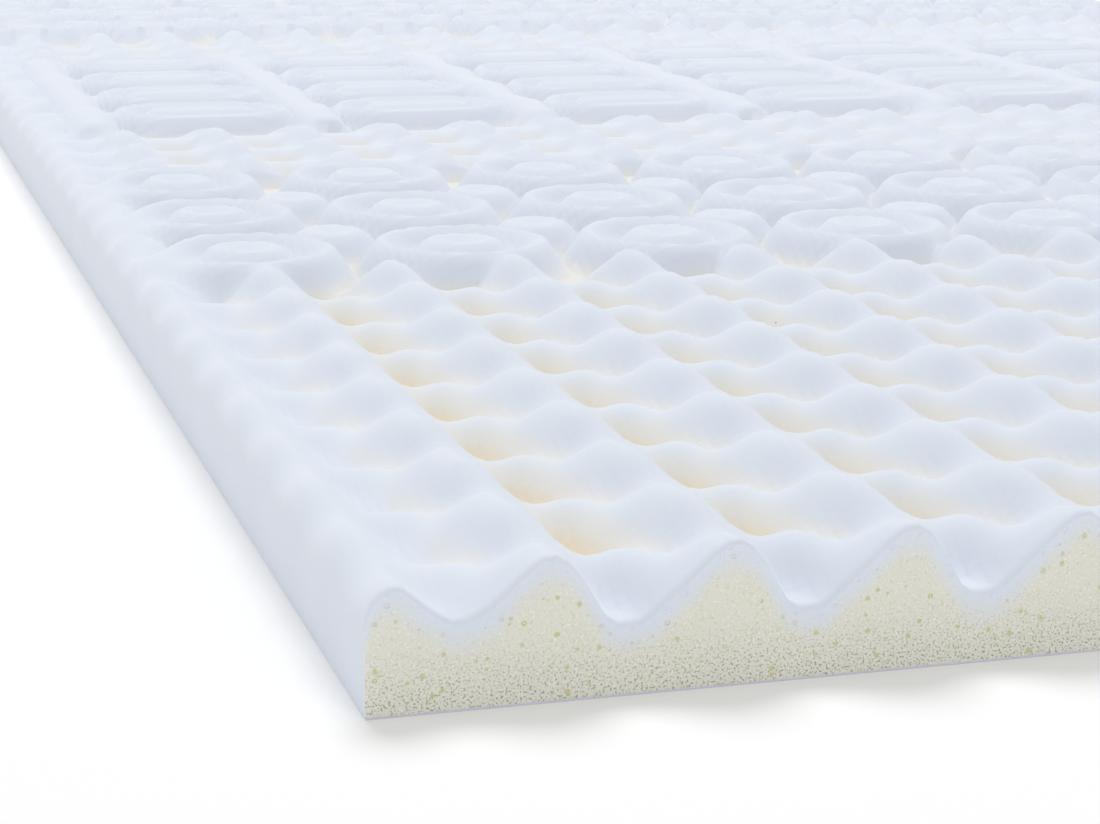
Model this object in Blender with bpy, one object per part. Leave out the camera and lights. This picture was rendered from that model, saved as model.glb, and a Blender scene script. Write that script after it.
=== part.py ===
"""Foam mattress topper with seven profile-cut zones, 100 x 200 cm, in metres with +Z up.

The topper is one slab of soft foam. Its underside is flat, its two short ends are
straight cuts through the relief, and its long sides end in a slightly lower band.
The relief changes from zone to zone along the length and is the same from both ends:
crest rows, rosettes, pebbles, lozenges, pebbles, rosettes, crest rows.
The origin is the middle of the underside, with the length along Y.
"""

import bmesh
import bpy
import numpy as np

OBJECT_NAME = "foam_topper"
COLLECTION_NAME = "mattress_topper"

# Driving dimensions, in metres. The crests of the relief are the slab's full thickness,
# and the deepest hollows between them reach down to the floor of the relief.
WIDTH = 1.000
LENGTH = 2.000
THICKNESS = 0.042
FLOOR_THICKNESS = 0.0205
SIDE_BAND_THICKNESS = 0.0364
SIDE_BLEND_WIDTH = 0.0184
RIDGE_PITCH = 0.0512
ROW_PITCH = 0.0500
SIDE_TO_FIRST_RIDGE = 0.0486
END_TO_FIRST_ROW = 0.0026

# Crest zone: the half heights of the wave across the ridges, of its finer part that makes
# the right flanks steeper, and of the two slanting waves that swell it into humps. Each
# shift is how far a wave's crest lies to the side of the ridge.
RIDGE_HEIGHT = 0.0056
STEEP_HEIGHT = 0.0019
STEEP_SHIFT = 0.0046
MAIN_SLANT_HEIGHT = 0.0043
CROSS_SLANT_HEIGHT = 0.0018
SLANT_SHIFT = 0.0028
CREST_LEVEL = 0.0124

# Rosette zone: three rows of large round mounds with small ones between.
ROSETTE_PITCH_X = 0.0921
ROSETTE_PITCH_Y = 0.0931
ROSETTE_RADIUS = 0.0440
ROSETTE_DEPTH = 0.0154
END_TO_FIRST_ROSETTE = 0.4409
BUTTON_RADIUS = 0.0260
BUTTON_DROP = 0.0026
MOUND_POWER = 4

# Pebble zone: even humps in a checkerboard, on the pitch of the ridges and rows.
PEBBLE_DEPTH = 0.0153
END_TO_FIRST_PEBBLE = 0.6956

# Lozenge zone: four rows of long lozenges, with ribs between their ends.
LOZENGE_PITCH_X = 0.1289
LOZENGE_PITCH_Y = 0.0808
LOZENGE_HALF_LENGTH = 0.0520
LOZENGE_HALF_WIDTH = 0.0395
LOZENGE_DEPTH = 0.0169
SIDE_TO_FIRST_LOZENGE = 0.1013
RIB_HALF_WIDTH = 0.0215
RIB_DROP = 0.0010

# Where each zone ends, measured from the nearer short end, and half the width over
# which a relief fades down to the floor there.
CREST_END = 0.4092
ROSETTE_END = 0.6727
PEBBLE_END = 0.8364
FADE_HALF_WIDTH = 0.0100

# Mesh lines that run along the length: one on each ridge, one in the valley beside it and
# one on the flank behind that, as shares of the ridge pitch, and one in the valley between
# the side and the first ridge.
ACROSS_SHARES = (0.0, 0.38, 0.69)
SIDE_TO_FIRST_VALLEY = 0.0180

# Mesh lines that run across the width, from the nearer short end. Rows and mounds have
# four lines to a pitch, humps have two.
LINE_RUNS = (
    # first line, step, number of lines
    (0.0277, 0.0250, 16),
    (0.4176, 0.0233, 12),
    (0.6956, 0.0250, 6),
    (0.8384, 0.0202, 8),
)

FOAM_COLOUR = (0.91, 0.92, 0.90, 1.0)
FOAM_ROUGHNESS = 0.95


def clear_scene():
    """Remove every object, so that the part is modelled in an empty scene."""
    for existing in list(bpy.data.objects):
        bpy.data.objects.remove(existing, do_unlink=True)


def smooth_step(value, low, high):
    """Rise smoothly from 0 at low to 1 at high."""
    share = np.clip((value - low) / (high - low), 0.0, 1.0)
    return share * share * (3.0 - 2.0 * share)


def cell_offset(distance, pitch, start):
    """Distance from the middle of the nearest cell of a repeat."""
    return (distance - start) - pitch * np.round((distance - start) / pitch)


def mound(offset_x, offset_y, half_length, half_width):
    """A mound with a full top: 1 in the middle and 0 from its outline out."""
    reach = np.hypot(offset_x / half_length, offset_y / half_width)
    return np.clip(1.0 - reach ** MOUND_POWER, 0.0, 1.0)


def crest_relief(across, along):
    """Ridges along the length, each one a row of humps with smaller humps between.

    across and along are distances from the side and from the nearer short end. This
    relief and the next three give the height above the floor of the relief.
    """
    from_ridge = across - SIDE_TO_FIRST_RIDGE
    turn = 2.0 * np.pi * from_ridge / RIDGE_PITCH
    row = 2.0 * np.pi * (along - END_TO_FIRST_ROW) / ROW_PITCH
    slant = 2.0 * np.pi * (from_ridge + SLANT_SHIFT) / RIDGE_PITCH
    steep = 4.0 * np.pi * (from_ridge - STEEP_SHIFT) / RIDGE_PITCH
    level = RIDGE_HEIGHT * np.cos(turn)
    level += STEEP_HEIGHT * np.cos(steep)
    level += MAIN_SLANT_HEIGHT * np.cos(slant + row)
    level += CROSS_SLANT_HEIGHT * np.cos(slant - row)
    return THICKNESS - FLOOR_THICKNESS - CREST_LEVEL + level


def rosette_relief(across, along):
    """Round mounds in line both ways, with a smaller one between each four."""
    large = mound(
        cell_offset(across, ROSETTE_PITCH_X, SIDE_TO_FIRST_RIDGE),
        cell_offset(along, ROSETTE_PITCH_Y, END_TO_FIRST_ROSETTE),
        ROSETTE_RADIUS,
        ROSETTE_RADIUS,
    )
    small = mound(
        cell_offset(across, ROSETTE_PITCH_X, SIDE_TO_FIRST_RIDGE + ROSETTE_PITCH_X / 2.0),
        cell_offset(along, ROSETTE_PITCH_Y, END_TO_FIRST_ROSETTE + ROSETTE_PITCH_Y / 2.0),
        BUTTON_RADIUS,
        BUTTON_RADIUS,
    )
    button_share = 1.0 - BUTTON_DROP / ROSETTE_DEPTH
    highest = np.maximum(large, small * button_share)
    return THICKNESS - FLOOR_THICKNESS - ROSETTE_DEPTH * (1.0 - highest)


def pebble_relief(across, along):
    """Even humps in a checkerboard."""
    phase_x = 2.0 * np.pi * (across - SIDE_TO_FIRST_RIDGE) / RIDGE_PITCH
    phase_y = 2.0 * np.pi * (along - END_TO_FIRST_PEBBLE) / ROW_PITCH
    level = np.cos(phase_x) * np.cos(phase_y)
    return THICKNESS - FLOOR_THICKNESS - PEBBLE_DEPTH / 2.0 * (1.0 - level)


def lozenge_relief(across, along):
    """Long mounds in rows, with a straight rib between the ends of their columns."""
    offset_x = cell_offset(across, LOZENGE_PITCH_X, SIDE_TO_FIRST_LOZENGE)
    middle_of_row = LENGTH / 2.0 + LOZENGE_PITCH_Y / 2.0
    offset_y = cell_offset(along, LOZENGE_PITCH_Y, middle_of_row)
    body = mound(offset_x, offset_y, LOZENGE_HALF_LENGTH, LOZENGE_HALF_WIDTH)
    from_rib = LOZENGE_PITCH_X / 2.0 - np.abs(offset_x)
    rib = 1.0 - smooth_step(from_rib, 0.0, RIB_HALF_WIDTH)
    rib_share = 1.0 - RIB_DROP / LOZENGE_DEPTH
    highest = np.maximum(body, rib * rib_share)
    return THICKNESS - FLOOR_THICKNESS - LOZENGE_DEPTH * (1.0 - highest)


def band_share(along, start, end):
    """1 inside a zone and 0 outside, with a soft step at each of its ends."""
    rise = smooth_step(along, start - FADE_HALF_WIDTH, start + FADE_HALF_WIDTH)
    fall = smooth_step(along, end - FADE_HALF_WIDTH, end + FADE_HALF_WIDTH)
    return rise * (1.0 - fall)


def top_height(across, from_front):
    """Height of the top above the underside: the highest relief at each place."""
    along = np.minimum(from_front, LENGTH - from_front)
    relief = np.zeros_like(along)
    for start, end, zone_relief in (
        (-ROW_PITCH, CREST_END, crest_relief),
        (CREST_END, ROSETTE_END, rosette_relief),
        (ROSETTE_END, PEBBLE_END, pebble_relief),
        (PEBBLE_END, LENGTH, lozenge_relief),
    ):
        share = band_share(along, start, end)
        relief = np.maximum(relief, zone_relief(across, along) * share)
    height = FLOOR_THICKNESS + relief
    from_side = np.minimum(across, WIDTH - across)
    inward = smooth_step(from_side, 0.0, SIDE_BLEND_WIDTH)
    return SIDE_BAND_THICKNESS * (1.0 - inward) + height * inward


def lines_across():
    """Distances from the left side of the mesh lines that run along the length."""
    ridge_count = int((WIDTH - SIDE_TO_FIRST_RIDGE) / RIDGE_PITCH) + 1
    ridges = SIDE_TO_FIRST_RIDGE + RIDGE_PITCH * np.arange(ridge_count)
    lines = np.add.outer(ridges, RIDGE_PITCH * np.array(ACROSS_SHARES)).ravel()
    inside = lines[lines < WIDTH - RIDGE_PITCH / 4.0]
    return np.concatenate(((0.0, SIDE_TO_FIRST_VALLEY), inside, (WIDTH,)))


def lines_along():
    """Distances from the front end of the mesh lines that run across the width."""
    half = [0.0]
    for first, step, count in LINE_RUNS:
        half.extend(first + step * index for index in range(count))
    half = np.array(half)
    return np.concatenate((half, (LENGTH / 2.0,), LENGTH - half[::-1]))


def foam_material():
    """Matt, off-white foam."""
    material = bpy.data.materials.new("soft_foam")
    material.use_nodes = True
    shader = material.node_tree.nodes["Principled BSDF"]
    shader.inputs["Base Color"].default_value = FOAM_COLOUR
    shader.inputs["Roughness"].default_value = FOAM_ROUGHNESS
    shader.inputs["Metallic"].default_value = 0.0
    return material


def shape_top(mesh_data, across, along):
    """Spread a flat grid over the mesh lines and lift its vertices to the relief."""
    columns = len(across)
    order = np.arange(len(mesh_data.verts))
    place_x = across[order % columns]
    place_y = along[order // columns]
    heights = top_height(place_x, place_y)
    for vertex, x, y, z in zip(mesh_data.verts, place_x, place_y, heights):
        vertex.co = (x - WIDTH / 2.0, y - LENGTH / 2.0, z)


def add_walls_and_underside(mesh_data):
    """Draw the rim of the top down to the underside and close it with a flat face."""
    rim = [edge for edge in mesh_data.edges if edge.is_boundary]
    drawn = bmesh.ops.extrude_edge_only(mesh_data, edges=rim)["geom"]
    for element in drawn:
        if isinstance(element, bmesh.types.BMVert):
            element.co.z = 0.0
    foot = [edge for edge in mesh_data.edges if edge.is_boundary]
    bmesh.ops.holes_fill(mesh_data, edges=foot, sides=0)


def build_topper():
    """Model the slab as one closed mesh, with triangles over the relief."""
    across = lines_across()
    along = lines_along()
    mesh_data = bmesh.new()
    bmesh.ops.create_grid(
        mesh_data,
        x_segments=len(across) - 1,
        y_segments=len(along) - 1,
        size=1.0,
    )
    shape_top(mesh_data, across, along)
    add_walls_and_underside(mesh_data)
    bmesh.ops.recalc_face_normals(mesh_data, faces=mesh_data.faces)
    bmesh.ops.triangulate(mesh_data, faces=mesh_data.faces)
    mesh = bpy.data.meshes.new(OBJECT_NAME)
    mesh_data.to_mesh(mesh)
    mesh_data.free()
    mesh.materials.append(foam_material())
    return bpy.data.objects.new(OBJECT_NAME, mesh)


def main():
    """Build the topper in a collection of its own."""
    clear_scene()
    collection = bpy.data.collections.new(COLLECTION_NAME)
    bpy.context.scene.collection.children.link(collection)
    collection.objects.link(build_topper())


main()
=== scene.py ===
"""Looks of an uncovered foam mattress topper with seven profile-cut zones.

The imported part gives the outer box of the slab. Everything on the slab is sized in ridge
pitches: the slab is 39.1 pitches long, and its relief is the same from both short ends.
Places on the slab are two distances in pitches: across, from the left long side, and
along, from the front cut end. Heights are in pitches too, and 0 is the level of the crests.
"""

import logging
import math
from dataclasses import dataclass, field
from enum import Enum
from typing import Protocol

import bpy
import numpy as np
from mathutils import Matrix, Vector


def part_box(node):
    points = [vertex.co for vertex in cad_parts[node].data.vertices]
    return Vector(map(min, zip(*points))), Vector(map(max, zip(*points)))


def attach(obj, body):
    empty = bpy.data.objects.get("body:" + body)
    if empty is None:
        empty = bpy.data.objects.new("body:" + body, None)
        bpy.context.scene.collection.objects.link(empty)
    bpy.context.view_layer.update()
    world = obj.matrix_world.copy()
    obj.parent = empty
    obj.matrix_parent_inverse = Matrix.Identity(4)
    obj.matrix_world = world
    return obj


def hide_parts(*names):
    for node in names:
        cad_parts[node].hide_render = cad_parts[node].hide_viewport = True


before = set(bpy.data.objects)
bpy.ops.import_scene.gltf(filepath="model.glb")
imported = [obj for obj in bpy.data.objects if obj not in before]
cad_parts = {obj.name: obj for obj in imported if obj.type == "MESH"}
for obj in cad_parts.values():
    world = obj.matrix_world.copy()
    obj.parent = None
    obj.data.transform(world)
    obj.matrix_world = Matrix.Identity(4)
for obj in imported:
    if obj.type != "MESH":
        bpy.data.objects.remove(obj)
log = logging.getLogger("topper")

CAD_NODE = "foam_topper"
PIECE_NAME = "topper_foam"
BODY = "root"
MILLIMETRE = 0.001
FULL_TURN = 2.0 * math.pi
SHARP_ANGLE = math.radians(80.0)
HOLLOW_ATTRIBUTE = "hollow"
EDGE_ATTRIBUTE = "below_edge"
Colour = tuple[float, float, float, float]
Place = tuple[float, float, float]


class Face(Enum):
    """The two kinds of surface on the slab, by their material slot."""

    SKIN = 0
    CUT = 1


class Zone(Enum):
    """The four kinds of relief, from a short end to the middle of the slab."""

    CREST_ROWS = "crest rows"
    ROSETTES = "rosettes"
    PEBBLES = "pebbles"
    LOZENGES = "lozenges"


def smooth_step(value: np.ndarray, low: float, high: float) -> np.ndarray:
    """Rise from 0 at low to 1 at high on a cubic with level ends.

    Args:
        value: Where the step is read.
        low: Where it leaves 0.
        high: Where it reaches 1.

    Returns:
        The step, of the shape of value.
    """
    share = np.clip((value - low) / (high - low), 0.0, 1.0)
    return share * share * (3.0 - 2.0 * share)


def smooth_higher(one: np.ndarray, other: np.ndarray, blend: float) -> np.ndarray:
    """The higher of two surfaces, with a rounded fillet where they cross.

    Args:
        one: Heights of the first surface.
        other: Heights of the second surface.
        blend: Height difference over which the fillet runs.

    Returns:
        The two heights mixed by their difference, plus the blend times the two shares.
    """
    share = np.clip(0.5 + 0.5 * (one - other) / blend, 0.0, 1.0)
    return other * (1.0 - share) + one * share + blend * share * (1.0 - share)


def quarter_round(from_edge: np.ndarray, radius: float) -> np.ndarray:
    """How far a rounded edge has dropped: the radius less the height of a quarter circle.

    Args:
        from_edge: Distances from the edge.
        radius: Radius of the rounding.

    Returns:
        The radius at the edge itself, falling to 0 a radius away from it.
    """
    turn = np.clip(1.0 - from_edge / radius, 0.0, 1.0)
    return radius * (1.0 - np.sqrt(1.0 - turn * turn))


def cell_offset(
    place: np.ndarray, pitch: float, first: float, rows: int | None = None
) -> np.ndarray:
    """Distance from the nearest cell middle of a repeat.

    Args:
        place: Distance across or along the slab.
        pitch: Distance between cell middles.
        first: Where the first cell has its middle.
        rows: Number of cells, or None for a repeat without an end.

    Returns:
        The signed distance from the middle of the nearest cell that exists.
    """
    index = np.round((place - first) / pitch)
    if rows is not None:
        index = np.clip(index, 0, rows - 1)
    return place - first - pitch * index


@dataclass(frozen=True)
class CrestRows:
    """Ridges along the slab, each a row of humps, with smaller humps in the valleys.

    Sizes are in pitches: first_ridge and first_row place the pattern, ridge to row_flatness
    are the heights of its waves, steep_shift and slant_shift move two of them sideways,
    crest is the sum's highest value and fullness how far it is filled out. The calm values
    say how much straighter the first ridges run, and how far in that reaches.
    """

    first_ridge: float = 0.95
    first_row: float = 0.05
    row_pitch: float = 0.976
    ridge: float = 0.110
    steepness: float = 0.037
    steep_shift: float = 0.089
    slant_shift: float = 0.054
    main_slant: float = 0.0845
    cross_slant: float = 0.0355
    row_dip: float = 0.013
    row_flatness: float = 0.017
    crest: float = 0.218
    fullness: float = 0.10
    calm_share: float = 0.40
    calm_rise: float = 0.035
    calm_reach: float = 2.2

    def height(self, across: np.ndarray, along: np.ndarray) -> np.ndarray:
        """A wave across, steeper on its right, crossed by two unlike slanting waves.

        The slanting waves swell each ridge into humps and leave smaller humps in the
        valleys, half a row further on. A slight wave along the slab evens the humps out,
        and the sum is filled out between its highest and lowest places. The first ridges
        are calmer: their own wave is higher and the slanting ones are lower.

        Args:
            across: Distances from the left long side, in pitches.
            along: Distances from the nearer short end, in pitches.

        Returns:
            Heights in pitches, 0 at the crest level.
        """
        turn = FULL_TURN * (across - self.first_ridge)
        row = FULL_TURN * (along - self.first_row) / self.row_pitch
        slant = turn + FULL_TURN * self.slant_shift
        calm = np.exp(-((across / self.calm_reach) ** 2))
        level = (self.ridge + self.calm_rise * calm) * np.cos(turn)
        level = level + self.steepness * np.cos(2.0 * (turn - FULL_TURN * self.steep_shift))
        waves = self.main_slant * np.cos(slant + row) + self.cross_slant * np.cos(slant - row)
        level = level + waves * (1.0 - self.calm_share * calm)
        level = level - self.row_dip * np.cos(row)
        level = level - self.row_flatness * np.cos(turn) * np.cos(2.0 * row)
        share = level / self.crest
        return level - self.crest + self.fullness * self.crest * (1.0 - share * share)


@dataclass(frozen=True)
class Rosettes:
    """Three rows of wide round mounds with a ring groove, and buttons between them.

    rim and ring are radii, wall is the breadth of the slope outside the rim, and groove,
    dimple and floor are depths. The buttons have a top radius, the breadth of their slope,
    the depth of their top and a dimple of their own.
    """

    pitch_across: float = 1.80
    pitch_along: float = 1.82
    first_column: float = 0.96
    first_row: float = 8.62
    rows: int = 3
    rim: float = 0.67
    ring: float = 0.26
    groove: float = 0.15
    dimple: float = 0.06
    wall: float = 0.27
    button_drop: float = 0.05
    button_top: float = 0.22
    button_wall: float = 0.33
    button_dimple: float = 0.05
    button_dimple_radius: float = 0.20
    floor: float = 0.30
    fillet: float = 0.03

    def height(self, across: np.ndarray, along: np.ndarray) -> np.ndarray:
        """A ring and a rim raised by a cosine of the radius, and a smooth wall outside.

        Args:
            across: Distances from the left long side, in pitches.
            along: Distances from the nearer short end, in pitches.

        Returns:
            Heights in pitches, 0 at the crest level.
        """
        radius = np.hypot(
            cell_offset(across, self.pitch_across, self.first_column),
            cell_offset(along, self.pitch_along, self.first_row, self.rows),
        )
        turn = FULL_TURN * (radius - self.ring) / (self.rim - self.ring)
        depth = np.where(radius < self.ring, self.dimple, self.groove)
        top = -depth / 2.0 * (1.0 - np.cos(turn))
        wall = -self.floor * smooth_step(radius, self.rim, self.rim + self.wall)
        mound = np.where(radius < self.rim, top, wall)
        return smooth_higher(mound, self.buttons(across, along), self.fillet)

    def buttons(self, across: np.ndarray, along: np.ndarray) -> np.ndarray:
        """Small round mounds between each four rosettes, dimpled in the middle.

        A button's dimple and wall are both smooth steps of the distance from its middle.

        Args:
            across: Distances from the left long side, in pitches.
            along: Distances from the nearer short end, in pitches.

        Returns:
            Heights in pitches, 0 at the crest level.
        """
        first_column = self.first_column + self.pitch_across / 2.0
        first_row = self.first_row + self.pitch_along / 2.0
        radius = np.hypot(
            cell_offset(across, self.pitch_across, first_column),
            cell_offset(along, self.pitch_along, first_row, self.rows - 1),
        )
        share = 1.0 - smooth_step(radius, 0.0, self.button_dimple_radius)
        dimple = self.button_dimple * share
        foot = self.button_top + self.button_wall
        wall = (self.floor - self.button_drop) * smooth_step(radius, self.button_top, foot)
        return -self.button_drop - dimple - wall


@dataclass(frozen=True)
class Pebbles:
    """Low ridges along the slab, each a row of small, even humps.

    ridge and the two slants are the heights of the three waves, and fullness is how far
    their sum is filled out.
    """

    pitch: float = 0.97
    first_column: float = 0.89
    first_row: float = 13.60
    ridge: float = 0.095
    main_slant: float = 0.050
    cross_slant: float = 0.045
    fullness: float = 0.12

    def height(self, across: np.ndarray, along: np.ndarray) -> np.ndarray:
        """A wave across crossed by two slanting waves, filled out between its extremes.

        Args:
            across: Distances from the left long side, in pitches.
            along: Distances from the nearer short end, in pitches.

        Returns:
            Heights in pitches, 0 at the crest level.
        """
        turn = FULL_TURN * (across - self.first_column) / self.pitch
        row = FULL_TURN * (along - self.first_row) / self.pitch
        total = self.ridge + self.main_slant + self.cross_slant
        level = self.ridge * np.cos(turn) + self.main_slant * np.cos(turn + row)
        share = (level + self.cross_slant * np.cos(turn - row)) / total
        return total * (share - 1.0 + self.fullness * (1.0 - share * share))


@dataclass(frozen=True)
class Lozenges:
    """Four rows of long rounded lozenges with a ring groove, and ribs between columns.

    spine is half the length of the straight middle. rim, ring and foot are distances from
    it, and groove, dimple and floor are depths. A rib has half breadths at its top and its
    foot, the depth of its top, and a scallop that thins and lowers it between the rows.
    """

    pitch_across: float = 2.52
    pitch_along: float = 1.58
    first_column: float = 1.98
    middle: float = 19.55
    rows: int = 4
    spine: float = 0.40
    rim: float = 0.52
    ring: float = 0.15
    groove: float = 0.12
    dimple: float = 0.05
    foot: float = 0.79
    rib_top: float = 0.14
    rib_foot: float = 0.46
    rib_drop: float = 0.01
    scallop: float = 0.05
    floor: float = 0.28
    fillet: float = 0.03

    def height(self, across: np.ndarray, along: np.ndarray) -> np.ndarray:
        """A rosette drawn out along a short spine, joined with the ribs beside it.

        The ring and the rim are a cosine of the distance from the spine, and the wall
        outside them is a smooth step of it.

        Args:
            across: Distances from the left long side, in pitches.
            along: Distances from the nearer short end, in pitches.

        Returns:
            Heights in pitches, 0 at the crest level.
        """
        first_row = self.middle - self.pitch_along * (self.rows - 1) / 2.0
        offset = cell_offset(across, self.pitch_across, self.first_column)
        from_row = cell_offset(along, self.pitch_along, first_row, self.rows)
        radius = np.hypot(np.maximum(np.abs(offset) - self.spine, 0.0), from_row)
        turn = FULL_TURN * (radius - self.ring) / (self.rim - self.ring)
        depth = np.where(radius < self.ring, self.dimple, self.groove)
        top = -depth / 2.0 * (1.0 - np.cos(turn))
        wall = -self.floor * smooth_step(radius, self.rim, self.foot)
        mound = np.where(radius < self.rim, top, wall)
        return smooth_higher(mound, self.ribs(across, along), self.fillet)

    def ribs(self, across: np.ndarray, along: np.ndarray) -> np.ndarray:
        """A rounded rib along the slab, a little lower and thinner between the rows.

        Its sides are a smooth step of the distance from its middle line, and a cosine
        along the slab narrows it.

        Args:
            across: Distances from the left long side, in pitches.
            along: Distances from the nearer short end, in pitches.

        Returns:
            Heights in pitches, 0 at the crest level.
        """
        first_rib = self.first_column + self.pitch_across / 2.0
        offset = cell_offset(across, self.pitch_across, first_rib)
        row = np.cos(FULL_TURN * (along - self.middle) / self.pitch_along)
        dip = self.scallop * 0.5 * (1.0 + row)
        side = np.abs(offset) + dip
        wall = smooth_step(side, self.rib_top, self.rib_foot)
        depth = (self.floor - self.rib_drop) * wall
        return -self.rib_drop - dip * 0.5 - depth


class Relief(Protocol):
    """Anything that gives the top of the foam a height at each place."""

    def height(self, across: np.ndarray, along: np.ndarray) -> np.ndarray:
        """Heights in pitches, 0 at the crest level."""


@dataclass(frozen=True)
class ZoneRun:
    """One zone of the slab: its relief, and where it starts and ends along the slab."""

    zone: Zone
    relief: Relief
    start: float
    end: float

    def share(self, from_end: np.ndarray, fade: float) -> np.ndarray:
        """How much of the zone shows: a smooth step up at its start and down at its end.

        Args:
            from_end: Distances from the nearer short end, in pitches.
            fade: Half the length of each step.

        Returns:
            Shares from 0 to 1.
        """
        rise = smooth_step(from_end, self.start - fade, self.start + fade)
        fall = smooth_step(from_end, self.end - fade, self.end + fade)
        return rise * (1.0 - fall)


@dataclass(frozen=True)
class Swell:
    """A slow wave over the slab: its radians to a pitch both ways, its start and its share."""

    across: float
    along: float
    start: float
    share: float = 1.0

    def level(self, across: np.ndarray, along: np.ndarray) -> np.ndarray:
        """The sine of the two distances, each times its own rate, plus the start."""
        return self.share * np.sin(self.across * across + self.along * along + self.start)


@dataclass(frozen=True)
class TopperRelief:
    """The whole top of the slab: its zones, its long sides and its slight unevenness.

    Sizes are in pitches. The zones end at crest_end, rosette_end and pebble_end, and the
    rosettes and lozenges reach a little past them, by their lead and trail. The outermost
    zones run past_edge beyond the slab's end and middle. fade and fillet soften where zones
    meet. The side values shape the band along each long side, cut_rounding the edge of a
    cut end, and the droop values how the front left corner hangs.
    """

    pitches_long: float
    pitches_wide: float
    crest_rows: CrestRows = field(default_factory=CrestRows)
    rosettes: Rosettes = field(default_factory=Rosettes)
    pebbles: Pebbles = field(default_factory=Pebbles)
    lozenges: Lozenges = field(default_factory=Lozenges)
    crest_end: float = 8.00
    rosette_end: float = 13.15
    pebble_end: float = 16.35
    rosette_lead: float = 0.25
    rosette_trail: float = 0.20
    lozenge_lead: float = 0.10
    past_edge: float = 1.0
    floor: float = 0.42
    fade: float = 0.12
    fillet: float = 0.03
    side_band: float = 0.11
    side_blend: float = 0.70
    side_rounding: float = 0.22
    side_scallop: float = 0.03
    cut_rounding: float = 0.035
    corner_droop: float = 0.03
    droop_across: float = 1.3
    droop_along: float = 1.2
    lumpiness: float = 0.008
    swells: tuple[Swell, ...] = (
        Swell(1.31, 0.77, 0.4),
        Swell(2.17, -1.63, 1.9),
        Swell(0.59, 2.71, 4.1),
        Swell(4.70, 3.10, 2.2, 0.5),
    )

    def zone_runs(self) -> tuple[ZoneRun, ...]:
        """The zones in order, from a short end to just past the middle of the slab.

        Returns:
            One run for each kind of relief.
        """
        rosette_start = self.crest_end - self.rosette_lead
        rosette_end = self.rosette_end + self.rosette_trail
        lozenge_start = self.pebble_end - self.lozenge_lead
        past_middle = self.pitches_long / 2.0 + self.past_edge
        return (
            ZoneRun(Zone.CREST_ROWS, self.crest_rows, -self.past_edge, self.crest_end),
            ZoneRun(Zone.ROSETTES, self.rosettes, rosette_start, rosette_end),
            ZoneRun(Zone.PEBBLES, self.pebbles, self.rosette_end, self.pebble_end),
            ZoneRun(Zone.LOZENGES, self.lozenges, lozenge_start, past_middle),
        )

    def zones(self, across: np.ndarray, along: np.ndarray) -> np.ndarray:
        """The highest of the zones at each place, each sunk to the floor at its ends.

        Args:
            across: Distances from the left long side, in pitches.
            along: Distances from the front cut end, in pitches.

        Returns:
            Heights in pitches, 0 at the crest level.
        """
        from_end = np.minimum(along, self.pitches_long - along)
        height = np.full_like(from_end, -self.floor)
        for run in self.zone_runs():
            shown = run.relief.height(across, from_end) + self.floor
            level = -self.floor + shown * run.share(from_end, self.fade)
            height = smooth_higher(height, level, self.fillet)
        return height

    def unevenness(self, across: np.ndarray, along: np.ndarray) -> np.ndarray:
        """A few slow crossing waves of unlike length, as soft foam has.

        Args:
            across: Distances from the left long side, in pitches.
            along: Distances from the front cut end, in pitches.

        Returns:
            The lumpiness times the mean of the waves, in pitches.
        """
        waves = sum(swell.level(across, along) for swell in self.swells)
        return self.lumpiness * waves / sum(swell.share for swell in self.swells)

    def height(self, across: np.ndarray, along: np.ndarray) -> np.ndarray:
        """Height of the whole top, with the sides and the cuts rounded.

        Near a long side the relief gives way to a lower band with a quarter-round
        shoulder, gently scalloped by the rows. At a cut end the last few hundredths of
        a pitch turn down on a quarter circle, and the front left corner hangs a little.

        Args:
            across: Distances from the left long side, in pitches.
            along: Distances from the front cut end, in pitches.

        Returns:
            Heights in pitches, 0 at the crest level.
        """
        relief = self.zones(across, along) + self.unevenness(across, along)
        from_side = np.minimum(across, self.pitches_wide - across)
        inward = smooth_step(from_side, 0.0, self.side_blend)
        scallop = self.side_scallop * np.cos(FULL_TURN * along / self.crest_rows.row_pitch)
        band = scallop - self.side_band - quarter_round(from_side, self.side_rounding)
        height = band * (1.0 - inward) + relief * inward
        from_cut = np.minimum(along, self.pitches_long - along)
        height = height - quarter_round(from_cut, self.cut_rounding)
        near_corner = np.exp(-across / self.droop_across - along / self.droop_along)
        return height - self.corner_droop * near_corner


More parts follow.
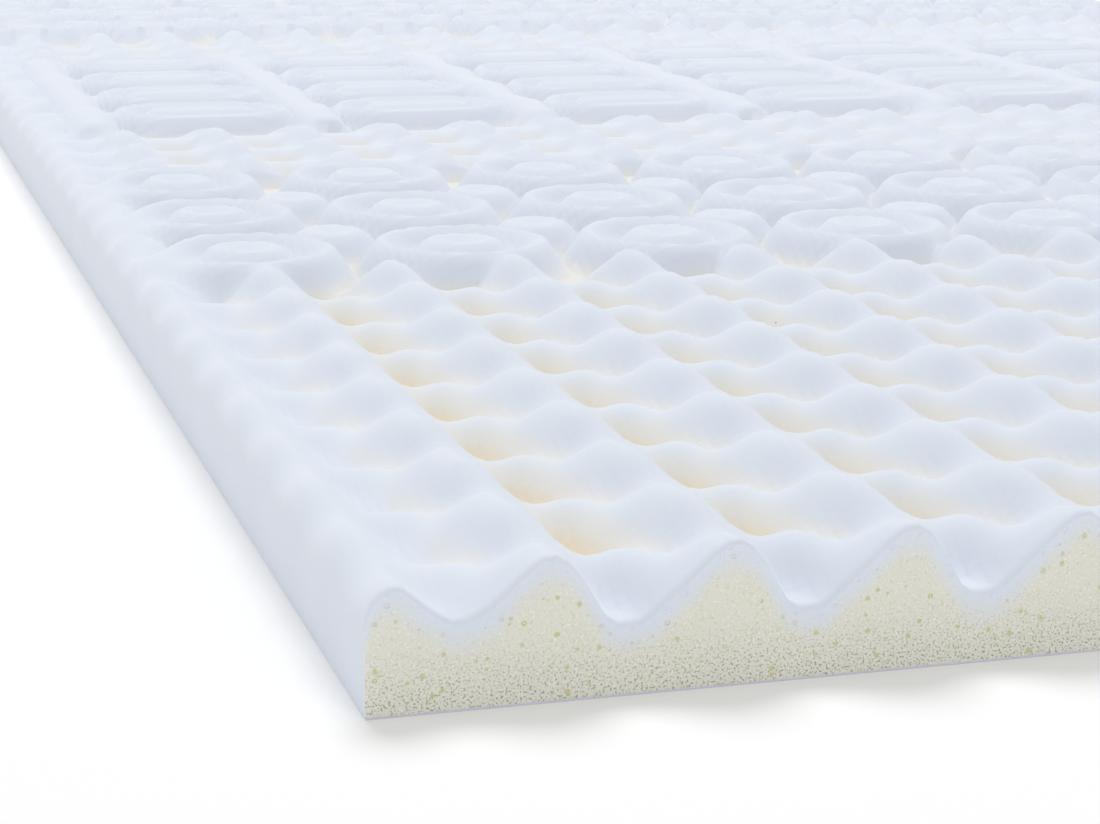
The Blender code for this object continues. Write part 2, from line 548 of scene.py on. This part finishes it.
@dataclass(frozen=True)
class MeshLines:
    """How far apart the mesh lines are, in lines to a pitch, over each stretch.

    rounding gives extra lines near each edge, by their distance from it, and closest is
    the narrowest gap kept further in than the edge strip. Places are rounded to digits, so
    that equal ones merge. wall_levels are heights on the walls, as shares of the whole wall.
    """

    across: tuple[tuple[float, int], ...] = ((9.0, 15), (99.0, 8))
    along: tuple[tuple[float, int], ...] = ((8.0, 14), (16.4, 12), (22.7, 10), (99.0, 6))
    rounding: tuple[float, ...] = (0.004, 0.018, 0.045, 0.085, 0.130, 0.175)
    closest: float = 0.008
    edge_strip: float = 0.1
    digits: int = 5
    wall_levels: tuple[float, ...] = (0.0, 0.06, 0.35, 0.70, 0.92)

    def places(self, stretches: tuple[tuple[float, int], ...], total: float) -> np.ndarray:
        """Even lines over each stretch, and close ones at both ends for the rounding.

        Args:
            stretches: Where each stretch ends, and its lines to a pitch.
            total: Full distance in pitches.

        Returns:
            Rising distances from 0 to total.
        """
        runs = [np.array(self.rounding), total - np.array(self.rounding)]
        start = 0.0
        for stretch_end, density in stretches:
            end = min(stretch_end, total)
            count = max(1, round((end - start) * density))
            runs.append(np.linspace(start, end, count + 1))
            start = end
            if end >= total:
                break
        places = np.unique(np.round(np.concatenate(runs), self.digits))
        close = np.concatenate(([False], np.diff(places) < self.closest))
        by_edge = (places < self.edge_strip) | (places > total - self.edge_strip)
        return places[~close | by_edge]


class NodeSheet:
    """One material's shader nodes, added and joined by short calls."""

    MIX_ONE = 6
    MIX_OTHER = 7
    MIX_COLOUR = 2

    def __init__(self, name: str) -> None:
        """Make a material with an output and a Principled shader.

        Args:
            name: The material's name.
        """
        self.material = bpy.data.materials.new(name)
        self.material.use_nodes = True
        self.tree = self.material.node_tree
        self.shader = self.tree.nodes["Principled BSDF"]
        self.place = self.add("ShaderNodeTexCoord").outputs["Object"]

    def add(self, kind: str, inputs: dict | None = None, **settings: object) -> bpy.types.Node:
        """Add a node.

        Args:
            kind: The node's type name.
            inputs: Its sockets by name or number, each with a value or a source socket.
            settings: Its own properties.

        Returns:
            The new node.
        """
        node = self.tree.nodes.new(kind)
        for name, value in settings.items():
            setattr(node, name, value)
        for name, value in (inputs or {}).items():
            self.feed(node.inputs[name], value)
        return node

    def feed(self, socket: bpy.types.NodeSocket, value: object) -> None:
        """Join a source socket to a socket, or set the socket's own value.

        Args:
            socket: The socket that takes the value.
            value: A source socket, a number or a colour.
        """
        if isinstance(value, bpy.types.NodeSocket):
            self.tree.links.new(value, socket)
        else:
            socket.default_value = value

    def math(self, operation: str, *values: object) -> bpy.types.NodeSocket:
        """One arithmetic step.

        Args:
            operation: The step's type name.
            values: One, two or three numbers or source sockets.

        Returns:
            The result's socket.
        """
        node = self.add("ShaderNodeMath", operation=operation)
        for socket, value in zip(node.inputs, values):
            self.feed(socket, value)
        return node.outputs[0]

    def step(self, value: bpy.types.NodeSocket, low: float, high: float) -> bpy.types.NodeSocket:
        """A smooth step from 0 at low to 1 at high.

        Args:
            value: Where the step is read.
            low: Where it leaves 0.
            high: Where it reaches 1.

        Returns:
            The step's socket.
        """
        inputs = {"Value": value, "From Min": low, "From Max": high}
        node = self.add("ShaderNodeMapRange", inputs, interpolation_type="SMOOTHSTEP")
        return node.outputs["Result"]

    def less(self, value: bpy.types.NodeSocket) -> bpy.types.NodeSocket:
        """One less a value, which turns a share round."""
        return self.math("SUBTRACT", 1.0, value)

    def mix(
        self, share: object, one: object, other: object, blend: str = "MIX"
    ) -> bpy.types.NodeSocket:
        """Two colours mixed by a share.

        Args:
            share: How much of the other colour shows.
            one: The colour at share 0.
            other: The colour at share 1.
            blend: The way they mix.

        Returns:
            The mixed colour's socket.
        """
        node = self.add("ShaderNodeMix", data_type="RGBA", blend_type=blend)
        self.feed(node.inputs["Factor"], share)
        self.feed(node.inputs[self.MIX_ONE], one)
        self.feed(node.inputs[self.MIX_OTHER], other)
        return node.outputs[self.MIX_COLOUR]

    def noise(self, scale: float, detail: float) -> bpy.types.NodeSocket:
        """Cloudy noise on the object's own coordinates, with its scale per metre."""
        inputs = {"Vector": self.place, "Scale": scale, "Detail": detail}
        return self.add("ShaderNodeTexNoise", inputs).outputs["Fac"]

    def scatter(self, scale: float) -> tuple[bpy.types.NodeSocket, bpy.types.NodeSocket]:
        """A scatter of cells, each with a random number of its own.

        Args:
            scale: Cells per metre.

        Returns:
            Distance from the nearest cell's middle, and that cell's number from 0 to 1.
        """
        cells = self.add("ShaderNodeTexVoronoi", {"Vector": self.place, "Scale": scale})
        parts = self.add("ShaderNodeSeparateColor", {"Color": cells.outputs["Color"]})
        return cells.outputs["Distance"], parts.outputs["Red"]

    def attribute(self, name: str) -> bpy.types.NodeSocket:
        """A number stored on the mesh."""
        return self.add("ShaderNodeAttribute", attribute_name=name).outputs["Fac"]

    def colour(self, colour: bpy.types.NodeSocket) -> None:
        """Give the shader its colour."""
        self.feed(self.shader.inputs["Base Color"], colour)

    def bump(self, height: bpy.types.NodeSocket, strength: float, depth: float) -> None:
        """Press a height pattern into the shader's normal.

        Args:
            height: The pattern's socket.
            strength: How strongly it shows, from 0 to 1.
            depth: Its depth in metres at full height.
        """
        inputs = {"Height": height, "Strength": strength, "Distance": depth}
        node = self.add("ShaderNodeBump", inputs)
        self.feed(self.shader.inputs["Normal"], node.outputs["Normal"])


@dataclass(frozen=True)
class FoamSurface:
    """What is the same all over a foam surface: matt, and lit a little from within.

    softness is the share of the light that travels below the surface, and reach is how
    far it travels, in metres and by colour.
    """

    roughness: float = 0.95
    gloss: float = 0.15
    softness: float = 0.20
    reach: float = 3.0 * MILLIMETRE
    reach_by_colour: tuple[float, float, float] = (1.0, 0.95, 0.85)
    sheen: float = 0.25
    sheen_roughness: float = 0.45

    def set_on(self, shader: bpy.types.Node) -> None:
        """Set the shader's own sockets.

        Args:
            shader: The Principled node.
        """
        amounts = {
            "Roughness": self.roughness,
            "Specular IOR Level": self.gloss,
            "Subsurface Weight": self.softness,
            "Subsurface Radius": self.reach_by_colour,
            "Subsurface Scale": self.reach,
            "Sheen Weight": self.sheen,
            "Sheen Roughness": self.sheen_roughness,
        }
        for name, amount in amounts.items():
            shader.inputs[name].default_value = amount


@dataclass(frozen=True)
class FoamSkin:
    """Soft white foam: bluish on top, cream in the hollows, and in the pits a warm tone darkened
    as painted shade.

    The hollow and pit depths say where each colour starts and where it is full, as shares
    of the floor's depth. Scales are per metre, and details are levels of finer noise.
    """

    top: Colour = (0.745, 0.795, 0.880, 1.0)
    hollow: Colour = (0.815, 0.805, 0.765, 1.0)
    # painted shade: a darker warm tone for the deepest pits
    shaded_pit: Colour = (0.820, 0.705, 0.530, 1.0)
    fleck: Colour = (0.30, 0.28, 0.26, 1.0)
    hollow_depths: tuple[float, float] = (0.35, 0.75)
    shaded_pit_depths: tuple[float, float] = (0.68, 0.98)
    detail: float = 3.0
    cloud_scale: float = 26.0
    cloud_share: float = 0.05
    cloud_floor: float = 0.965
    grain_scale: float = 420.0
    fine_grain_scale: float = 1500.0
    fine_grain_share: float = 0.35
    grain_strength: float = 0.25
    grain_depth: float = 0.4 * MILLIMETRE
    fleck_scale: float = 45.0
    fleck_size: float = 0.022
    fleck_rarity: float = 0.90
    surface: FoamSurface = FoamSurface()

    def make(self) -> bpy.types.Material:
        """Mix the three colours by depth, the deepest one a painted shade, and add faint clouds,
        flecks and fine grain.

        Returns:
            The skin's material.
        """
        sheet = NodeSheet("foam_skin")
        depth = sheet.attribute(HOLLOW_ATTRIBUTE)
        colour = sheet.mix(sheet.step(depth, *self.hollow_depths), self.top, self.hollow)
        # painted shade: the deepest pits are darkened to a warm ochre
        colour = sheet.mix(sheet.step(depth, *self.shaded_pit_depths), colour, self.shaded_pit)
        clouds = sheet.noise(self.cloud_scale, self.detail)
        clouds = sheet.math("MULTIPLY_ADD", clouds, self.cloud_share, self.cloud_floor)
        colour = sheet.mix(1.0, colour, clouds, "MULTIPLY")
        sheet.colour(sheet.mix(self.flecks(sheet), colour, self.fleck))
        grain = sheet.noise(self.grain_scale, self.detail)
        fine_grain = sheet.noise(self.fine_grain_scale, self.detail)
        grain = sheet.math("MULTIPLY_ADD", fine_grain, self.fine_grain_share, grain)
        sheet.bump(grain, self.grain_strength, self.grain_depth)
        self.surface.set_on(sheet.shader)
        return sheet.material

    def flecks(self, sheet: NodeSheet) -> bpy.types.NodeSocket:
        """Where a rare cell of a scatter has its small dark speck.

        Args:
            sheet: The skin's nodes.

        Returns:
            A socket that is 1 on a speck and 0 elsewhere.
        """
        distance, number = sheet.scatter(self.fleck_scale)
        near = sheet.math("LESS_THAN", distance, self.fleck_size)
        rare = sheet.math("GREATER_THAN", number, self.fleck_rarity)
        return sheet.math("MULTIPLY", near, rare)


@dataclass(frozen=True)
class PoreSize:
    """One size of open pore: cells per metre, the widest pore in a cell and its strength."""

    scale: float
    widest: float
    share: float
    rim: float = 0.10

    def openings(self, sheet: NodeSheet) -> bpy.types.NodeSocket:
        """Round openings of unlike size: a scatter's distance below a varying limit.

        Args:
            sheet: The cut face's nodes.

        Returns:
            A socket that rises from 0 at an opening's rim to the share inside it.
        """
        distance, number = sheet.scatter(self.scale)
        limit = sheet.math("MULTIPLY", number, self.widest)
        inside = sheet.step(sheet.math("SUBTRACT", limit, distance), 0.0, self.rim)
        return sheet.math("MULTIPLY", inside, self.share)


@dataclass(frozen=True)
class CutFace:
    """The cut ends: pale yellow-green foam with open pores, fading to skin at the top.

    Pairs are where a step starts and where it is full: crumb_dark and glint_levels in
    noise levels, low_band, lining_heights and edge_fade in metres. dark_above is the share
    of dark crumbs all over the face, and dark_below how much the foot adds to it.
    """

    face: Colour = (0.790, 0.785, 0.700, 1.0)
    pore: Colour = (0.640, 0.630, 0.340, 1.0)
    glint: Colour = (0.930, 0.930, 0.880, 1.0)
    foot: Colour = (0.380, 0.375, 0.320, 1.0)
    lining: Colour = (0.700, 0.680, 0.780, 1.0)
    edge: Colour = FoamSkin.top
    low_band: tuple[float, float] = (0.0, 22.0 * MILLIMETRE)
    lining_heights: tuple[float, float] = (0.4 * MILLIMETRE, 0.8 * MILLIMETRE)
    crumb_scale: float = 1500.0
    crumb_detail: float = 5.0
    crumb_dark: tuple[float, float] = (0.38, 0.48)
    crumb_height: float = 0.8
    dark_above: float = 0.10
    dark_below: float = 0.92
    fine_pores: PoreSize = PoreSize(700.0, 0.40, 0.35)
    coarse_pores: PoreSize = PoreSize(330.0, 0.32, 1.0)
    glint_scale: float = 1350.0
    glint_detail: float = 4.0
    glint_levels: tuple[float, float] = (0.58, 0.64)
    glint_share: float = 0.8
    edge_scale: float = 110.0
    edge_detail: float = 3.0
    edge_wander: float = 8.0 * MILLIMETRE
    edge_fade: tuple[float, float] = (-4.0 * MILLIMETRE, 6.0 * MILLIMETRE)
    relief_strength: float = 0.5
    relief_depth: float = 0.5 * MILLIMETRE
    surface: FoamSurface = FoamSurface()

    def make(self) -> bpy.types.Material:
        """Pores of two sizes over the face with painted glints, darker near the foot, pale at the
        top edge.

        Returns:
            The cut face's material.
        """
        sheet = NodeSheet("foam_cut_face")
        rise = sheet.add("ShaderNodeSeparateXYZ", {"Vector": sheet.place}).outputs["Z"]
        crumb = sheet.noise(self.crumb_scale, self.crumb_detail)
        colour = sheet.mix(self.dark_crumbs(sheet, crumb, rise), self.face, self.foot)
        fine = self.fine_pores.openings(sheet)
        pores = sheet.math("MAXIMUM", fine, self.coarse_pores.openings(sheet))
        colour = sheet.mix(pores, colour, self.pore)
        # painted highlights: pale glinting specks scattered over the cut foam
        glints = sheet.step(sheet.noise(self.glint_scale, self.glint_detail), *self.glint_levels)
        colour = sheet.mix(sheet.math("MULTIPLY", glints, self.glint_share), colour, self.glint)
        colour = sheet.mix(self.below_skin(sheet), self.edge, colour)
        bottom = sheet.less(sheet.step(rise, *self.lining_heights))
        sheet.colour(sheet.mix(bottom, colour, self.lining))
        relief = sheet.math("SUBTRACT", sheet.math("MULTIPLY", crumb, self.crumb_height), pores)
        sheet.bump(relief, self.relief_strength, self.relief_depth)
        self.surface.set_on(sheet.shader)
        return sheet.material

    def dark_crumbs(
        self, sheet: NodeSheet, crumb: bpy.types.NodeSocket, rise: bpy.types.NodeSocket
    ) -> bpy.types.NodeSocket:
        """Where the crumb noise is low, shown more strongly towards the foot.

        Args:
            sheet: The cut face's nodes.
            crumb: The crumb noise.
            rise: Height above the underside.

        Returns:
            The share of the foot's colour.
        """
        low = sheet.less(sheet.step(rise, *self.low_band))
        dark = sheet.less(sheet.step(crumb, *self.crumb_dark))
        share = sheet.math("MULTIPLY_ADD", low, self.dark_below, self.dark_above)
        return sheet.math("MULTIPLY", dark, share)

    def below_skin(self, sheet: NodeSheet) -> bpy.types.NodeSocket:
        """Where the skin has given way to the cut foam, along a wandering line.

        Args:
            sheet: The cut face's nodes.

        Returns:
            A socket that rises from 0 at the top edge to 1 below it.
        """
        below = sheet.attribute(EDGE_ATTRIBUTE)
        wander = sheet.noise(self.edge_scale, self.edge_detail)
        line = sheet.math("MULTIPLY_ADD", wander, -self.edge_wander, below)
        return sheet.step(line, *self.edge_fade)


@dataclass
class FoamTopper:
    """The slab of foam as one closed mesh: relief, long sides, cut ends and underside.

    low and high are the corners of its box in metres. The tint values are where the
    colour of the hollows starts and where it is full, in pitches from each edge.
    """

    low: Vector
    high: Vector
    pitches_long: float = 39.1
    lines: MeshLines = field(default_factory=MeshLines)
    skin: FoamSkin = field(default_factory=FoamSkin)
    cut: CutFace = field(default_factory=CutFace)
    tint_from_side: tuple[float, float] = (0.25, 0.75)
    tint_from_cut: tuple[float, float] = (0.10, 0.70)

    def __post_init__(self) -> None:
        """Work out the pitch, the relief and the mesh lines from the slab's box."""
        size = self.high - self.low
        self.pitch = size.y / self.pitches_long
        wide = size.x / self.pitch
        self.relief = TopperRelief(self.pitches_long, wide)
        self.across = self.lines.places(self.lines.across, wide)
        self.along = self.lines.places(self.lines.along, self.pitches_long)

    def top(self) -> tuple[np.ndarray, np.ndarray]:
        """The relief on the grid of mesh lines.

        Each point is its two distances times the pitch, and its height is the slab's
        thickness less the depth of the relief there.

        Returns:
            Points by row and column, in metres, and their depth as a share of the floor's,
            fading out towards the edges of the slab.
        """
        across, along = np.meshgrid(self.across, self.along)
        drop = self.relief.height(across, along)
        points = np.stack(
            (
                self.low.x + across * self.pitch,
                self.low.y + along * self.pitch,
                self.high.z + drop * self.pitch,
            ),
            axis=-1,
        )
        from_side = np.minimum(across, self.relief.pitches_wide - across)
        from_cut = np.minimum(along, self.pitches_long - along)
        inner = smooth_step(from_side, *self.tint_from_side)
        inner = inner * smooth_step(from_cut, *self.tint_from_cut)
        return points, -drop / self.relief.floor * inner

    def wall(self, edge: np.ndarray) -> np.ndarray:
        """A wall under an edge of the top: each edge point lowered to each wall level.

        Args:
            edge: The edge's points, in metres.

        Returns:
            Points by edge point and level, from the underside up, without the edge.
        """
        levels = np.array(self.lines.wall_levels)
        points = np.repeat(edge[:, None, :], len(levels), axis=1)
        points[:, :, 2] = self.low.z + (edge[:, None, 2] - self.low.z) * levels
        return points

    def below_edge(self, edge: np.ndarray) -> np.ndarray:
        """How far each point of a wall lies below the top's edge, in metres."""
        return (edge[:, 2] - self.low.z)[:, None] * (1.0 - np.array(self.lines.wall_levels))

    def vertex_numbers(self, rows: int, columns: int) -> tuple[np.ndarray, ...]:
        """Vertex numbers of the top and the left, right, front and back walls.

        The top is numbered first, row by row, then the walls in that order, each from the
        underside up. A wall ends in the top's edge, and the front and back walls end in
        the first and last columns of the side walls.

        Args:
            rows: Mesh lines across the slab.
            columns: Mesh lines along the slab.

        Returns:
            Five arrays of numbers.
        """
        levels = len(self.lines.wall_levels)
        side_wall = (rows, levels)
        end_wall = (columns - 2, levels)
        numbers = []
        start = 0
        for shape in ((rows, columns), side_wall, side_wall, end_wall, end_wall):
            count = shape[0] * shape[1]
            numbers.append(np.arange(start, start + count).reshape(shape))
            start += count
        top, left, right, front, back = numbers
        left = np.column_stack((left, top[:, 0]))
        right = np.column_stack((right, top[:, -1]))
        front = np.column_stack((front, top[0, 1:-1]))
        back = np.column_stack((back, top[-1, 1:-1]))
        front = np.vstack((left[0], front, right[0]))
        back = np.vstack((left[-1], back, right[-1]))
        return top, left, right, front, back

    def faces(self, rows: int, columns: int) -> tuple[np.ndarray, np.ndarray, list[list[int]]]:
        """The faces of the slab, all turned outwards.

        Args:
            rows: Mesh lines across the slab.
            columns: Mesh lines along the slab.

        Returns:
            Quads of the skin, quads of the cut ends, and the two flat faces that finish
            the underside under the cut ends, each with many corners.
        """
        top, left, right, front, back = self.vertex_numbers(rows, columns)
        underside = np.column_stack((right[1:-1, 0], left[1:-1, 0]))
        skin = (
            sheet_quads(top),
            sheet_quads(left)[:, ::-1],
            sheet_quads(right),
            sheet_quads(underside),
        )
        cut = (sheet_quads(front), sheet_quads(back)[:, ::-1])
        first = [left[1, 0], right[1, 0], *front[::-1, 0]]
        last = [right[-2, 0], left[-2, 0], *back[:, 0]]
        return np.concatenate(skin), np.concatenate(cut), [first, last]

    def build(self) -> bpy.types.Object:
        """Join the top, the four walls and the underside into one closed mesh.

        Returns:
            The slab's object, dressed and tied to the frame.
        """
        top, depth = self.top()
        edges = (top[:, 0], top[:, -1], top[0, 1:-1], top[-1, 1:-1])
        parts = [top, *(self.wall(edge) for edge in edges)]
        vertices = np.concatenate([part.reshape(-1, 3) for part in parts])
        mesh = mesh_from_faces(PIECE_NAME, vertices, *self.faces(*depth.shape))
        on_walls = np.zeros(len(vertices) - depth.size)
        store(mesh, HOLLOW_ATTRIBUTE, np.concatenate((depth.ravel(), on_walls)))
        on_top = np.zeros(depth.size)
        falls = [self.below_edge(edge).ravel() for edge in edges]
        store(mesh, EDGE_ATTRIBUTE, np.concatenate((on_top, *falls)))
        mesh.materials.append(self.skin.make())
        mesh.materials.append(self.cut.make())
        return self.tie(bpy.data.objects.new(PIECE_NAME, mesh))

    def tie(self, piece: bpy.types.Object) -> bpy.types.Object:
        """Put the slab in the scene, on its body and in place of its plain solid.

        Args:
            piece: The slab's object.

        Returns:
            The same object.
        """
        bpy.context.scene.collection.objects.link(piece)
        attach(piece, BODY)
        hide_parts(CAD_NODE)
        return piece


def sheet_quads(numbers: np.ndarray) -> np.ndarray:
    """Quads between neighbouring rows and columns of a sheet of vertex numbers.

    Args:
        numbers: Vertex numbers by row and column.

    Returns:
        One row of four numbers for each quad, turned anticlockwise from above.
    """
    corners = (numbers[:-1, :-1], numbers[:-1, 1:], numbers[1:, 1:], numbers[1:, :-1])
    return np.stack([corner.ravel() for corner in corners], axis=1)


def mesh_from_faces(
    name: str, vertices: np.ndarray, skin: np.ndarray, cut: np.ndarray, caps: list[list[int]]
) -> bpy.types.Mesh:
    """Put vertices and faces into a mesh, smooth on the skin and sharp at the cuts.

    Args:
        name: The mesh's name.
        vertices: Points in metres.
        skin: Quads of the skin.
        cut: Quads of the cut ends.
        caps: Flat faces of the skin with many corners.

    Returns:
        The new mesh, with each face in its material slot.
    """
    mesh = bpy.data.meshes.new(name)
    quads = len(skin) + len(cut)
    loops = np.concatenate([skin.ravel(), cut.ravel(), *[np.array(cap) for cap in caps]])
    counts = np.concatenate((np.full(quads, 4), [len(cap) for cap in caps]))
    starts = np.concatenate(([0], np.cumsum(counts)[:-1]))
    slots = np.full(len(counts), Face.SKIN.value)
    slots[len(skin) : quads] = Face.CUT.value
    mesh.vertices.add(len(vertices))
    mesh.vertices.foreach_set("co", vertices.astype(np.float32).ravel())
    mesh.loops.add(len(loops))
    mesh.loops.foreach_set("vertex_index", loops.astype(np.int32))
    mesh.polygons.add(len(counts))
    mesh.polygons.foreach_set("loop_start", starts.astype(np.int32))
    mesh.polygons.foreach_set("material_index", slots.astype(np.int32))
    mesh.update(calc_edges=True)
    mesh.validate()
    mesh.shade_smooth()
    mesh.set_sharp_from_angle(angle=SHARP_ANGLE)
    return mesh


def store(mesh: bpy.types.Mesh, name: str, values: np.ndarray) -> None:
    """Keep one number for each vertex, where the finishes can read it."""
    attribute = mesh.attributes.new(name, "FLOAT", "POINT")
    attribute.data.foreach_set("value", values.astype(np.float32))


@dataclass(frozen=True)
class SoftLamp:
    """A large soft lamp, placed in metres from the middle of the slab and aimed at it."""

    name: str
    place: Place
    size: float
    power: float

    def hang(self) -> None:
        """Add the lamp."""
        data = bpy.data.lights.new(self.name, "AREA")
        data.shape = "DISK"
        data.size = self.size
        data.energy = self.power
        lamp = bpy.data.objects.new(self.name, data)
        lamp.location = self.place
        lamp.rotation_euler = Vector(self.place).to_track_quat("Z", "Y").to_euler()
        bpy.context.scene.collection.objects.link(lamp)


@dataclass(frozen=True)
class Studio:
    """A plain white floor under a bright, even sky and soft lamps."""

    floor_half: float = 12.0
    floor_colour: Colour = (0.97, 0.97, 0.97, 1.0)
    floor_roughness: float = 1.0
    floor_gloss: float = 0.0
    sky_colour: Colour = (1.0, 1.0, 1.0, 1.0)
    sky_strength: float = 0.58
    lamps: tuple[SoftLamp, ...] = (
        SoftLamp("top_lamp", (0.3, 2.8, 6.0), 4.0, 230.0),
        SoftLamp("front_lamp", (0.6, -4.6, 1.8), 3.0, 28.0),
        SoftLamp("side_lamp", (-4.6, -0.6, 1.6), 2.4, 18.0),
    )

    def build(self) -> None:
        """Lay the floor, light the sky and hang the lamps."""
        self.lay_floor()
        self.light_sky()
        for lamp in self.lamps:
            lamp.hang()

    def lay_floor(self) -> None:
        """Lay one wide square of matt floor, level with the underside."""
        half = self.floor_half
        corners = [(-half, -half, 0.0), (half, -half, 0.0), (half, half, 0.0), (-half, half, 0.0)]
        mesh = bpy.data.meshes.new("studio_floor")
        mesh.from_pydata(corners, [], [(0, 1, 2, 3)])
        material = bpy.data.materials.new("studio_floor")
        material.use_nodes = True
        shader = material.node_tree.nodes["Principled BSDF"]
        shader.inputs["Base Color"].default_value = self.floor_colour
        shader.inputs["Roughness"].default_value = self.floor_roughness
        shader.inputs["Specular IOR Level"].default_value = self.floor_gloss
        mesh.materials.append(material)
        floor = bpy.data.objects.new("studio_floor", mesh)
        bpy.context.scene.collection.objects.link(floor)

    def light_sky(self) -> None:
        """Light the scene evenly from all round, and show colours as they are."""
        world = bpy.data.worlds.new("studio_sky")
        world.use_nodes = True
        sky = world.node_tree.nodes["Background"]
        sky.inputs["Color"].default_value = self.sky_colour
        sky.inputs["Strength"].default_value = self.sky_strength
        bpy.context.scene.world = world
        bpy.context.scene.view_settings.view_transform = "Standard"


@dataclass(frozen=True)
class ViewPoint:
    """The main camera: low over the front left corner, looking along the slab.

    Its place and the nearest distance it shows are in metres, its angles in degrees, and
    its lens and sensor in millimetres.
    """

    place: Place = (-0.637, -1.617, 0.241)
    turned_right: float = 16.75
    tilted_down: float = 14.13
    rolled: float = 0.64
    lens: float = 85.3
    sensor: float = 36.0
    nearest: float = 0.05

    def axes(self) -> Matrix:
        """The camera's axes: turned from +Y to its right, tilted down and rolled.

        Returns:
            Its right, up and backward directions as the columns of a matrix.
        """
        turn = math.radians(self.turned_right)
        tilt = math.radians(self.tilted_down)
        roll = math.radians(self.rolled)
        ahead = Vector(
            (math.sin(turn) * math.cos(tilt), math.cos(turn) * math.cos(tilt), -math.sin(tilt))
        )
        level = Vector((math.cos(turn), -math.sin(turn), 0.0))
        upright = level.cross(ahead)
        right = level * math.cos(roll) + upright * math.sin(roll)
        up = upright * math.cos(roll) - level * math.sin(roll)
        return Matrix((right, up, -ahead)).transposed()

    def set_up(self) -> None:
        """Add the camera and make it the scene's own."""
        data = bpy.data.cameras.new("main_camera")
        data.lens = self.lens
        data.sensor_width = self.sensor
        data.clip_start = self.nearest
        camera = bpy.data.objects.new("main_camera", data)
        camera.matrix_world = Matrix.Translation(Vector(self.place)) @ self.axes().to_4x4()
        bpy.context.scene.collection.objects.link(camera)
        bpy.context.scene.camera = camera


def main() -> None:
    """Build the studio, the view and the slab, and report each piece."""
    logging.basicConfig(level=logging.INFO, format="%(message)s")
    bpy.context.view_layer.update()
    Studio().build()
    ViewPoint().set_up()
    low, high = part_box(CAD_NODE)
    topper = FoamTopper(low, high)
    piece = topper.build()
    for run in topper.relief.zone_runs():
        first = max(run.start, 0.0)
        log.info("%s from %.2f to %.2f pitches", run.zone.value, first, run.end)
    log.info("%s: %d faces", piece.name, len(piece.data.polygons))


if __name__ == "__main__":
    main()
